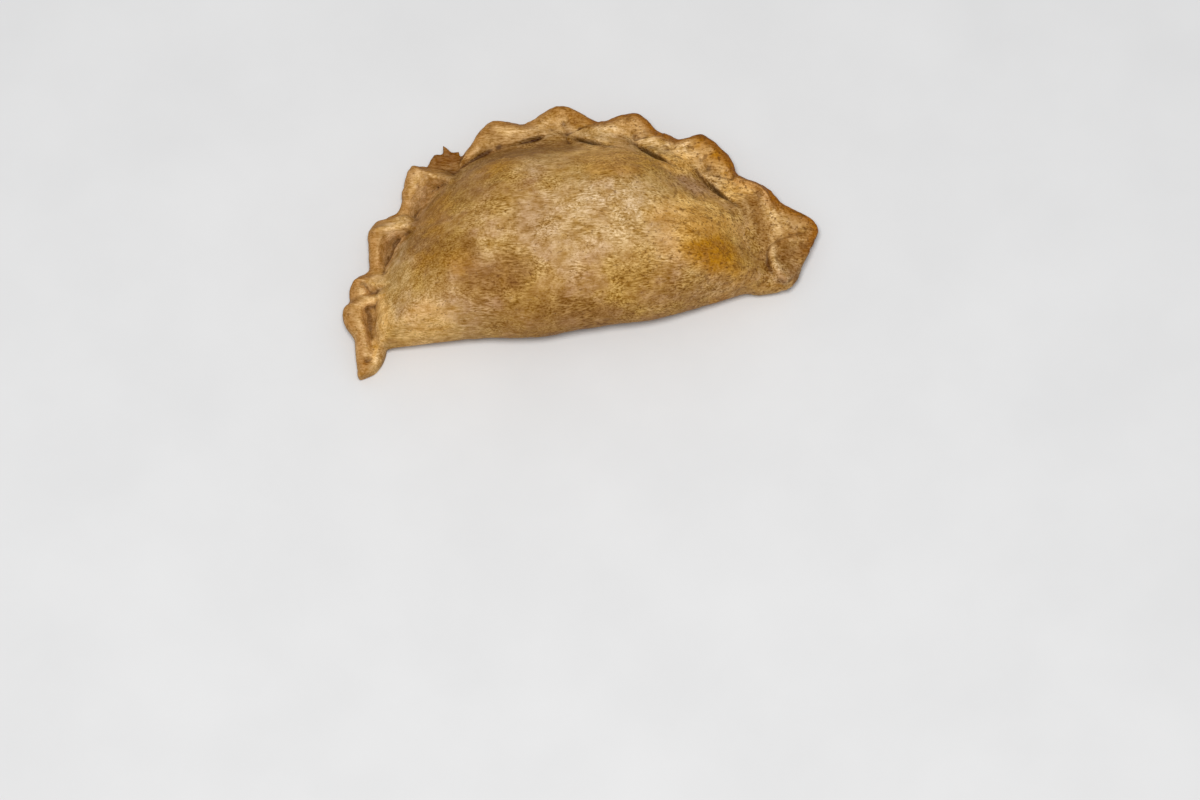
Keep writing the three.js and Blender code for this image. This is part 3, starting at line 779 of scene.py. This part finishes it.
def painted_shade_mask(points, normal, here, broad):
    """Painted shade in the hollows of the form, on the flap's face, in the cups and on the torn scrap."""
    flap_shade = lerp(FLAP_SHADE, FLAP_PALER, smoothstep(here.flap_lip, *FLAP_FADE))
    in_flap = smoothstep(here.flap_lip, *FLAP_SHADE_RUN) * flap_shade
    outward = (points[:, :2] - RIM_CENTRE) / here.radius[:, None]
    off_body = 1 - smoothstep(np.sum(normal[:, :2] * outward, 1), *CUP_FACING)
    in_cup = CUP_SHADE * here.cup * smoothstep(here.radius, *CUP_FROM) * off_body
    on_scrap = SCRAP_SHADE * (1 - smoothstep(np.minimum(here.scrap, here.splinter), 0, SCRAP_MARGIN))
    return np.maximum.reduce([smoothstep(broad, *HOLLOW_SHADE_DEPTH), in_flap, in_cup, on_scrap])


def brown_and_shade_mask(points, rim):
    """Brown patches, partly the bake's and partly painted shade, and the fold's underside, browned and in
    painted shade.
    """
    # the fold's underside, browned and in painted shade
    low_down = 1 - smoothstep(points[:, 2], *FRONT_BAND)
    fold_underside_brown_and_shade = low_down * bell(points[:, 0], FRONT_BAND_X, FRONT_BAND_REACH) * (1 - rim)
    return np.maximum(patches(points, BROWN_AND_SHADE_PATCHES), fold_underside_brown_and_shade)


def calm_mask(points, here, rim):
    """Where the grain is fainter: on the crimp and at the body's left-hand end."""
    on_crimp = rim * lerp(CALM_CRIMP, CALM_RIGHT, smoothstep(here.place, *CALM_RUN))
    return np.maximum(on_crimp, CALM_LEFT * smoothstep(-points[:, 0], *CALM_LEFT_RUN))


def make_dough():
    """Points in plan millimetres, quads, and the masks that the crust's colour follows, painted shade and
    highlights among them.
    """
    points, quads, average = make_surface()
    here = Plan(points[:, 0], points[:, 1])
    rim = crimp_share(here)
    past_cups = smoothstep(here.place, *SHEET_RUN)
    right_hand = smoothstep(here.place, *TOASTED_RUN)
    points = roughened(points, quads, here, rim, past_cups)
    normal = vertex_normals(points, quads)
    fine, broad = sunken(points, normal, average)
    from_edge = np.maximum(here.edge - here.radius, -np.minimum(here.corner, here.flap))
    at_edge = 1 - smoothstep(from_edge, *TOASTED_BAND)
    # painted shade on the crimp's slopes that face away from the light
    away_side_shade = smoothstep(normal @ AWAY_SIDE, *AWAY_SIDE_TILT) * smoothstep(here.radius, *AWAY_SIDE_FROM)
    masks = {
        "rim": rim,
        # painted shade in creases and slits
        "crease": painted_crease_shade(points, here, fine, past_cups),
        # painted highlights on lips and leaves
        "lip": painted_highlight_mask(points, here, fine, rim, past_cups),
        # painted shade in hollows, cups, on the flap's face and on the torn scrap
        "hollow_shade": painted_shade_mask(points, normal, here, broad),
        "toasted": at_edge * rim * lerp(LEFT_TOASTED, 1, right_hand),
        "away_side_shade": away_side_shade * rim * lerp(LEFT_AWAY_SIDE_SHADE, 1, right_hand),
        "calm": calm_mask(points, here, rim),
        "freckled": smoothstep(points[:, 0], *FRECKLED_RUN),
        "golden": patches(points, GOLDEN_PATCHES),
        "pale": patches(points, PALE_PATCHES),
        "warm": patches(points, WARM_PATCHES),
        # brown patches, partly painted shade
        "brown_and_shade": brown_and_shade_mask(points, rim),
    }
    return points, quads, masks


def linear(red, green, blue):
    """A colour as seen on a screen, from 0 to 255, as the linear colour that a shader takes."""
    def channel(value):
        value /= 255
        return value / 12.92 if value <= 0.04045 else ((value + 0.055) / 1.055) ** 2.4
    return (channel(red), channel(green), channel(blue), 1)


FLOOR_COLOURS = (linear(218, 219, 221), linear(223, 224, 226))
PALE = linear(209, 175, 126)
TAN = linear(182, 138, 62)
MAUVE = linear(173, 130, 86)
WARM = linear(236, 182, 96)
GOLDEN = linear(170, 112, 0)
# Brown of the bake, also used as painted shade in valleys, under lobes and on the flap
BROWN_AND_SHADE = linear(141, 96, 37)
# Painted shade in hollows, cups, on the flap's face and on the torn scrap
HOLLOW_SHADE = linear(112, 69, 26)
# Painted shade in creases and slits
CREASE_SHADE = linear(70, 40, 14)
# Painted shade on the crimp's slopes that face away from the light
SLOPE_SHADE = linear(146, 90, 8)
TOASTED = linear(150, 90, 0)
RIM_TAN = linear(213, 170, 108)
# Painted highlight on lips and leaves
LIP_HIGHLIGHT = linear(234, 194, 134)
BRAN = linear(104, 62, 6)
CREAM = linear(221, 184, 130)

# What mottles and grain multiply the colour by, where they are darkest and lightest: darks are warmer
DARK_MOTTLE = (0.76, 0.67, 0.42, 1)
LIGHT_MOTTLE = (1.19, 1.28, 1.55, 1)
DARK_GRAIN = (0.5, 0.39, 0.12, 1)
LIGHT_GRAIN = (1.44, 1.6, 1.95, 1)
EVEN = (1, 1, 1, 1)
GRAIN_TURN = math.radians(-10)  # the grain lies at this angle to the fold
GRAIN_ADDED = 0.016  # and it adds and takes away this much besides

# Noises: millimetres between their lumps, detail, roughness, and how far they are drawn out with the grain
BROAD_NOISE = (14, 3)
CLOUD_NOISE = (6, 4, 0.6)
MOTTLE_NOISE = (2.4, 4, 0.65, (1.3, 1, 1))
LAY_NOISE = (9, 2)
FIBRE_NOISE = (0.4, 2, 0.6, (4, 1, 1))
CRUMB_NOISE = (0.45, 2, 0.65, (1.5, 1, 1))
STILL_NOISE = (7, 2)
SPECK_NOISE = (0.75, 2, 0.6, (1.3, 1, 1))
FLECK_NOISE = (1.0, 3, 0.7, (1.8, 1, 1))
SPOT_NOISE = (2.6, 3, 0.65)
FLOOR_NOISE = (40, 4)

# Where along a noise a thing sets in and is in full, and its amounts at both unless they are 0 and 1
FLOOR_CLOUDS = (0.2, 0.8)
MAUVE_SHARE = (0.36, 0.64)
TAN_CLOUDS = (0.35, 0.68, 0, 0.7)
PALE_MOTTLES = (0.25, 0.6, 0.6, 1)
BROWN_AND_SHADE_CLOUDS = (0.3, 0.6, 0.75, 1)
GOLDEN_MOTTLES = (0.3, 0.6, 0.7, 1)
SLOPE_SHADE_CLOUDS = (0.3, 0.6, 0.35, 0.8)
TOASTED_MOTTLES = (0.25, 0.6, 0.65, 1)
LIGHT_MOTTLES = (0.3, 0.7)
FIBROUS = (0.38, 0.62)
LIGHT_GRAINS = (0.3, 0.7)
STILL = (0.36, 0.64, 0, 0.7)
CREAM_FLECKS = (0.58, 0.74, 0, 0.3)
CREAM_ON_GOLDEN = (0, 0.6, 1, 0.1)
FRECKLES = (0.55, 0.66, 0, 0.55)
SPECKS = (0.61, 0.7, 0, 0.55)
FRECKLED_SPECKS = (0.56, 0.64, 0, 0.5)
ROUGHNESS = (0.3, 0.7, 0.55, 0.75)

# How strongly each mask colours the crust, its gloss, and its bumps
RIM_STRENGTH = 0.75
# Strength of the painted highlight on lips and leaves
LIP_HIGHLIGHT_STRENGTH = 0.7
WARM_STRENGTH = 1
# Strength of the painted shade in hollows
HOLLOW_SHADE_STRENGTH = 0.7
# Strength of the painted shade in creases and slits
CREASE_SHADE_STRENGTH = 0.8
CALM_STRENGTH = 0.75
CALM_ON_GOLDEN = 0.6
SPECULAR = 0.14
BUMP_STRENGTH = 0.3
BUMP_HEIGHT = 0.25 * MM
BUMP_GRAIN = 0.3  # the grain's share of the bumps, beside the mottles

# Sockets of a node that mixes two colours
MIX_INPUTS = (0, 6, 7)  # the amount and both colours
MIX_RESULT = 2


class Shader:
    """Short ways to add the nodes of one material."""

    def __init__(self, name):
        self.material = bpy.data.materials.new(name)
        self.material.use_nodes = True
        self.nodes = self.material.node_tree.nodes
        self.links = self.material.node_tree.links
        self.bsdf = self.nodes["Principled BSDF"]
        coordinate = self.nodes.new("ShaderNodeTexCoord")
        self.place = coordinate.outputs["Object"]

    def feed(self, node, inputs):
        """Sets constants on a node's sockets, and links others to what other nodes give."""
        for socket, value in inputs.items():
            if isinstance(value, (int, float, tuple)):
                node.inputs[socket].default_value = value
            else:
                self.links.new(value, node.inputs[socket])

    def noise(self, size, detail=3, roughness=0.55, stretch=(1, 1, 1)):
        """Noise whose lumps are size millimetres apart, drawn out along and across the grain by stretch."""
        mapping = self.nodes.new("ShaderNodeMapping")
        mapping.vector_type = "TEXTURE"
        scale = tuple(size * MM * s for s in stretch)
        self.feed(mapping, {"Vector": self.place, "Rotation": (0, 0, GRAIN_TURN), "Scale": scale})
        node = self.nodes.new("ShaderNodeTexNoise")
        self.feed(node, {"Vector": mapping.outputs["Vector"], "Scale": 1})
        self.feed(node, {"Detail": detail, "Roughness": roughness})
        return node.outputs["Fac"]

    def between(self, value, low, high, result_low=0, result_high=1):
        node = self.nodes.new("ShaderNodeMapRange")
        node.interpolation_type = "SMOOTHSTEP"
        self.feed(node, {"Value": value, "From Min": low, "From Max": high})
        self.feed(node, {"To Min": result_low, "To Max": result_high})
        return node.outputs["Result"]

    def maths(self, operation, a, b):
        node = self.nodes.new("ShaderNodeMath")
        node.operation = operation
        self.feed(node, {0: a, 1: b})
        return node.outputs["Value"]

    def blend(self, amount, a, b):
        """A value between a and b."""
        step = self.maths("SUBTRACT", b, a)
        return self.maths("ADD", a, self.times(amount, step))

    def times(self, a, b):
        return self.maths("MULTIPLY", a, b)

    def mask(self, name, strength):
        node = self.nodes.new("ShaderNodeAttribute")
        node.attribute_name = name
        return self.times(node.outputs["Fac"], strength)

    def mix(self, amount, a, b, blend="MIX"):
        node = self.nodes.new("ShaderNodeMix")
        node.data_type = "RGBA"
        node.blend_type = blend
        node.clamp_result = blend == "LINEAR_LIGHT"
        self.feed(node, dict(zip(MIX_INPUTS, (amount, a, b))))
        return node.outputs[MIX_RESULT]

    def paint(self, colour, layers):
        """A colour under layers of others, each with its amount."""
        for amount, tint in layers:
            colour = self.mix(amount, colour, tint)
        return colour


def dough_colour(shader, cloud, mottle, golden):
    """The dough's colour from the bake's patches down to the crimp, with painted highlights and painted
    shade.
    """
    broad = shader.noise(*BROAD_NOISE)
    return shader.paint(TAN, [
        (shader.between(broad, *MAUVE_SHARE), MAUVE),
        (shader.between(cloud, *TAN_CLOUDS), TAN),
        (shader.mask("rim", RIM_STRENGTH), RIM_TAN),
        (shader.mask("pale", shader.between(mottle, *PALE_MOTTLES)), PALE),
        # painted highlight on lips and leaves
        (shader.mask("lip", LIP_HIGHLIGHT_STRENGTH), LIP_HIGHLIGHT),
        (shader.mask("warm", WARM_STRENGTH), WARM),
        # brown of the bake and painted shade
        (shader.mask("brown_and_shade", shader.between(cloud, *BROWN_AND_SHADE_CLOUDS)), BROWN_AND_SHADE),
        (golden, GOLDEN),
        # painted shade on slopes facing away from the light
        (shader.mask("away_side_shade", shader.between(cloud, *SLOPE_SHADE_CLOUDS)), SLOPE_SHADE),
        (shader.mask("toasted", shader.between(mottle, *TOASTED_MOTTLES)), TOASTED),
        # painted shade in hollows, cups, on the flap and on the scrap
        (shader.mask("hollow_shade", HOLLOW_SHADE_STRENGTH), HOLLOW_SHADE),
        # painted shade in creases and slits
        (shader.mask("crease", CREASE_SHADE_STRENGTH), CREASE_SHADE),
    ])


def wholemeal_colour(shader, colour, mottle, grain, golden):
    """The colour with mottles, grain, cream flecks and dark bran."""
    mottled = shader.mix(shader.between(mottle, *LIGHT_MOTTLES), DARK_MOTTLE, LIGHT_MOTTLE)
    colour = shader.mix(1.0, colour, mottled, "MULTIPLY")
    light_grain = shader.between(grain, *LIGHT_GRAINS)
    still = shader.between(shader.noise(*STILL_NOISE), *STILL)
    calm = shader.maths("MAXIMUM", shader.mask("calm", CALM_STRENGTH), still)
    calm = shader.maths("MAXIMUM", calm, shader.times(golden, CALM_ON_GOLDEN))
    grained = shader.mix(calm, shader.mix(light_grain, DARK_GRAIN, LIGHT_GRAIN), EVEN)
    colour = shader.mix(1.0, colour, grained, "MULTIPLY")
    colour = shader.mix(GRAIN_ADDED, colour, light_grain, "LINEAR_LIGHT")
    fleck = shader.between(shader.noise(*FLECK_NOISE), *CREAM_FLECKS)
    spot = shader.noise(*SPOT_NOISE)
    speck = shader.noise(*SPECK_NOISE)
    return shader.paint(colour, [
        (shader.times(fleck, shader.between(golden, *CREAM_ON_GOLDEN)), CREAM),
        (shader.mask("freckled", shader.between(spot, *FRECKLES)), BRAN),
        (shader.between(speck, *SPECKS), BRAN),
        (shader.mask("freckled", shader.between(speck, *FRECKLED_SPECKS)), BRAN),
    ])


def crust_material():
    shader = Shader("crust")
    cloud = shader.noise(*CLOUD_NOISE)
    mottle = shader.noise(*MOTTLE_NOISE)
    lay = shader.between(shader.noise(*LAY_NOISE), *FIBROUS)
    grain = shader.blend(lay, shader.noise(*CRUMB_NOISE), shader.noise(*FIBRE_NOISE))
    golden = shader.mask("golden", shader.between(mottle, *GOLDEN_MOTTLES))
    colour = dough_colour(shader, cloud, mottle, golden)
    colour = wholemeal_colour(shader, colour, mottle, grain, golden)
    height = shader.maths("ADD", shader.times(grain, BUMP_GRAIN), mottle)
    bump = shader.nodes.new("ShaderNodeBump")
    shader.feed(bump, {"Height": height, "Strength": BUMP_STRENGTH, "Distance": BUMP_HEIGHT})
    rough = shader.between(mottle, *ROUGHNESS)
    shader.feed(shader.bsdf, {"Base Color": colour, "Roughness": rough, "Specular IOR Level": SPECULAR})
    shader.feed(shader.bsdf, {"Normal": bump.outputs["Normal"]})
    return shader.material


def add_object(name, data):
    added = bpy.data.objects.new(name, data)
    bpy.context.scene.collection.objects.link(added)
    return added


def merge_base(mesh):
    """Makes one face of the flat base."""
    work = bmesh.new()
    work.from_mesh(mesh)
    level = [face for face in work.faces if all(vertex.co.z < TINY for vertex in face.verts)]
    bmesh.ops.dissolve_faces(work, faces=level, use_verts=False)
    work.to_mesh(mesh)
    work.free()


def make_empanada():
    """Adds the crust in place of the solid, and returns where the plan's origin lies."""
    points, quads, masks = make_dough()
    shift = (np.array(CAD_LOW) + np.array(CAD_HIGH)) / 2 / MM - (points.min(0) + points.max(0)) / 2
    shift[2] = 0
    mesh = bpy.data.meshes.new("empanada_crust")
    mesh.from_pydata(((points + shift) * MM).tolist(), [], quads.tolist())
    for name, values in masks.items():
        attribute = mesh.attributes.new(name, "FLOAT", "POINT")
        attribute.data.foreach_set("value", values.astype(np.float32))
    merge_base(mesh)
    mesh.shade_smooth()
    mesh.materials.append(crust_material())
    piece = add_object("empanada_crust", mesh)
    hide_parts("empanada")
    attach(piece, "root")
    return Vector((shift[0], shift[1], 0)) * MM


def facing(place, aim):
    """How a camera or a lamp is turned that looks from a place at its aim."""
    return (aim - place).to_track_quat("-Z", "Y").to_euler()


def add_camera(origin):
    level = math.cos(ELEVATION)
    toward = Vector((math.sin(AZIMUTH) * level, -math.cos(AZIMUTH) * level, math.sin(ELEVATION)))
    right = Vector((math.cos(AZIMUTH), math.sin(AZIMUTH), 0))
    up = toward.cross(right)
    camera = bpy.data.cameras.new("camera")
    camera.sensor_width = SENSOR
    camera.lens = SENSOR * DISTANCE / VIEW_WIDTH
    camera.clip_start = NEAREST
    eye = add_object("camera", camera)
    eye.location = origin + toward * DISTANCE
    eye.rotation_euler = facing(eye.location, origin + right * VIEW_ASIDE - up * VIEW_BELOW)
    bpy.context.scene.camera = eye


def add_floor():
    mesh = bpy.data.meshes.new("floor")
    corners = [(-1, -1), (1, -1), (1, 1), (-1, 1)]
    mesh.from_pydata([(x * FLOOR_HALF, y * FLOOR_HALF, 0) for x, y in corners], [], [(0, 1, 2, 3)])
    shader = Shader("floor")
    shade = shader.between(shader.noise(*FLOOR_NOISE), *FLOOR_CLOUDS)
    shader.feed(shader.bsdf, {"Base Color": shader.mix(shade, *FLOOR_COLOURS), "Roughness": FLOOR_ROUGHNESS})
    mesh.materials.append(shader.material)
    floor = add_object("floor", mesh)


def add_light():
    world = bpy.data.worlds.new("studio")
    world.use_nodes = True
    sky = world.node_tree.nodes["Background"]
    sky.inputs["Color"].default_value = SKY_COLOUR
    sky.inputs["Strength"].default_value = SKY_STRENGTH
    bpy.context.scene.world = world
    lamp = bpy.data.lights.new("key", "AREA")
    lamp.shape = "DISK"
    lamp.size = LAMP_WIDTH
    lamp.energy = LAMP_POWER
    lamp.color = LAMP_COLOUR
    holder = add_object("key", lamp)
    holder.location = LAMP_PLACE
    holder.rotation_euler = facing(holder.location, Vector((0, 0, 0)))


bpy.context.scene.view_settings.view_transform = "Standard"
plan_origin = make_empanada()
add_camera(plan_origin)
add_floor()
add_light()
